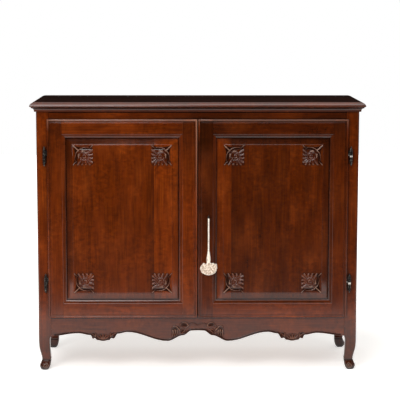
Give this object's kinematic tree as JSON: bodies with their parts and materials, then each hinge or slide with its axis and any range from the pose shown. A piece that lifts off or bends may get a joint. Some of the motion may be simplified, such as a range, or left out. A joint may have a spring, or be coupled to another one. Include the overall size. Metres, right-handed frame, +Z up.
{
  "type": "credenza",
  "caption": "Two-door wooden credenza with fielded, corner-carved door panels, a scalloped apron, cabriole legs, lift-off hinges and a key with a cord tassel.",
  "frame": {"origin": "on the floor, under the middle of the object's box without the tassel", "axes": "+X along the width to the right, +Y from the doors to the back, +Z up"},
  "size_m": [1.4, 0.5256, 1.143],
  "materials": {
    "waxed_walnut": "waxed, dark reddish brown",
    "plain_inside_wood": "unpolished",
    "dark_iron": "dark, worn bright on edges",
    "cream_cotton": "matt yarn"
  },
  "bodies": {
    "carcass": {"top_board": "waxed_walnut", "cornice_front": "waxed_walnut", "cornice_left": "waxed_walnut", "cornice_right": "waxed_walnut", "front_left_post": "waxed_walnut", "front_right_post": "waxed_walnut", "back_left_post": "waxed_walnut", "back_right_post": "waxed_walnut", "front_top_rail": "waxed_walnut", "front_apron": "waxed_walnut", "left_side_top_rail": "waxed_walnut", "right_side_top_rail": "waxed_walnut", "left_side_bottom_rail": "waxed_walnut", "right_side_bottom_rail": "waxed_walnut", "left_side_panel": "waxed_walnut", "right_side_panel": "waxed_walnut", "back_top_rail": "plain_inside_wood", "back_bottom_rail": "plain_inside_wood", "back_board_1": "plain_inside_wood", "back_board_2": "plain_inside_wood", "back_board_3": "plain_inside_wood", "bottom_board": "plain_inside_wood", "shelf": "plain_inside_wood", "left_shelf_bearer": "plain_inside_wood", "right_shelf_bearer": "plain_inside_wood", "left_floor_bearer": "plain_inside_wood", "right_floor_bearer": "plain_inside_wood", "left_lower_hinge_pintle": "dark_iron", "left_upper_hinge_pintle": "dark_iron", "right_lower_hinge_pintle": "dark_iron", "right_upper_hinge_pintle": "dark_iron"},
    "left_door": {"left_door_hinge_stile": "waxed_walnut", "left_door_meeting_stile": "waxed_walnut", "left_door_top_rail": "waxed_walnut", "left_door_bottom_rail": "waxed_walnut", "left_door_panel": "waxed_walnut", "left_door_lower_hinge_socket": "dark_iron", "left_door_upper_hinge_socket": "dark_iron", "lock_keeper": "dark_iron", "left_top_bolt_guide": "dark_iron", "left_bottom_bolt_guide": "dark_iron"},
    "right_door": {"right_door_hinge_stile": "waxed_walnut", "right_door_meeting_stile": "waxed_walnut", "right_door_top_rail": "waxed_walnut", "right_door_bottom_rail": "waxed_walnut", "right_door_panel": "waxed_walnut", "right_door_lower_hinge_socket": "dark_iron", "right_door_upper_hinge_socket": "dark_iron", "lock_case": "dark_iron"},
    "lock_bolt": {"lock_bolt": "dark_iron"},
    "key": {"key": "dark_iron"},
    "tassel": {"tassel_cord": "cream_cotton", "tassel_head": "cream_cotton", "tassel_skirt": "cream_cotton"},
    "left_top_bolt": {"left_top_slide_bolt": "dark_iron"},
    "left_bottom_bolt": {"left_bottom_slide_bolt": "dark_iron"}
  },
  "joints": [
    {"name": "left_door_hinge", "type": "hinge", "parent": "carcass", "child": "left_door", "pos_m": [-0.6415, -0.2221, 0.6465], "axis": [0, 0, -1], "range_deg": [0, 180]},
    {"name": "right_door_hinge", "type": "hinge", "parent": "carcass", "child": "right_door", "pos_m": [0.6415, -0.2221, 0.6465], "axis": [0, 0, 1], "range_deg": [0, 180]},
    {"name": "key_turn", "type": "hinge", "parent": "right_door", "child": "key", "pos_m": [0.045, -0.2445, 0.658], "axis": [0, -1, 0], "range_deg": [0, 360]},
    {"name": "lock_bolt_slide", "type": "slide", "parent": "right_door", "child": "lock_bolt", "axis": [-1, 0, 0], "range_m": [0, 0.012]},
    {"name": "left_top_bolt_slide", "type": "slide", "parent": "left_door", "child": "left_top_bolt", "axis": [0, 0, 1], "range_m": [0, 0.018]},
    {"name": "left_bottom_bolt_slide", "type": "slide", "parent": "left_door", "child": "left_bottom_bolt", "axis": [0, 0, -1], "range_m": [0, 0.018]},
    {"name": "tassel_swing", "type": "hinge", "parent": "right_door", "child": "tassel", "pos_m": [0.045, -0.2604, 0.658], "axis": [0, 1, 0], "range_deg": [-30, 30]}
  ],
  "couplings": [
    {"joint": "lock_bolt_slide", "follows": "key_turn", "m_per_rad": 0.0019098}
  ]
}
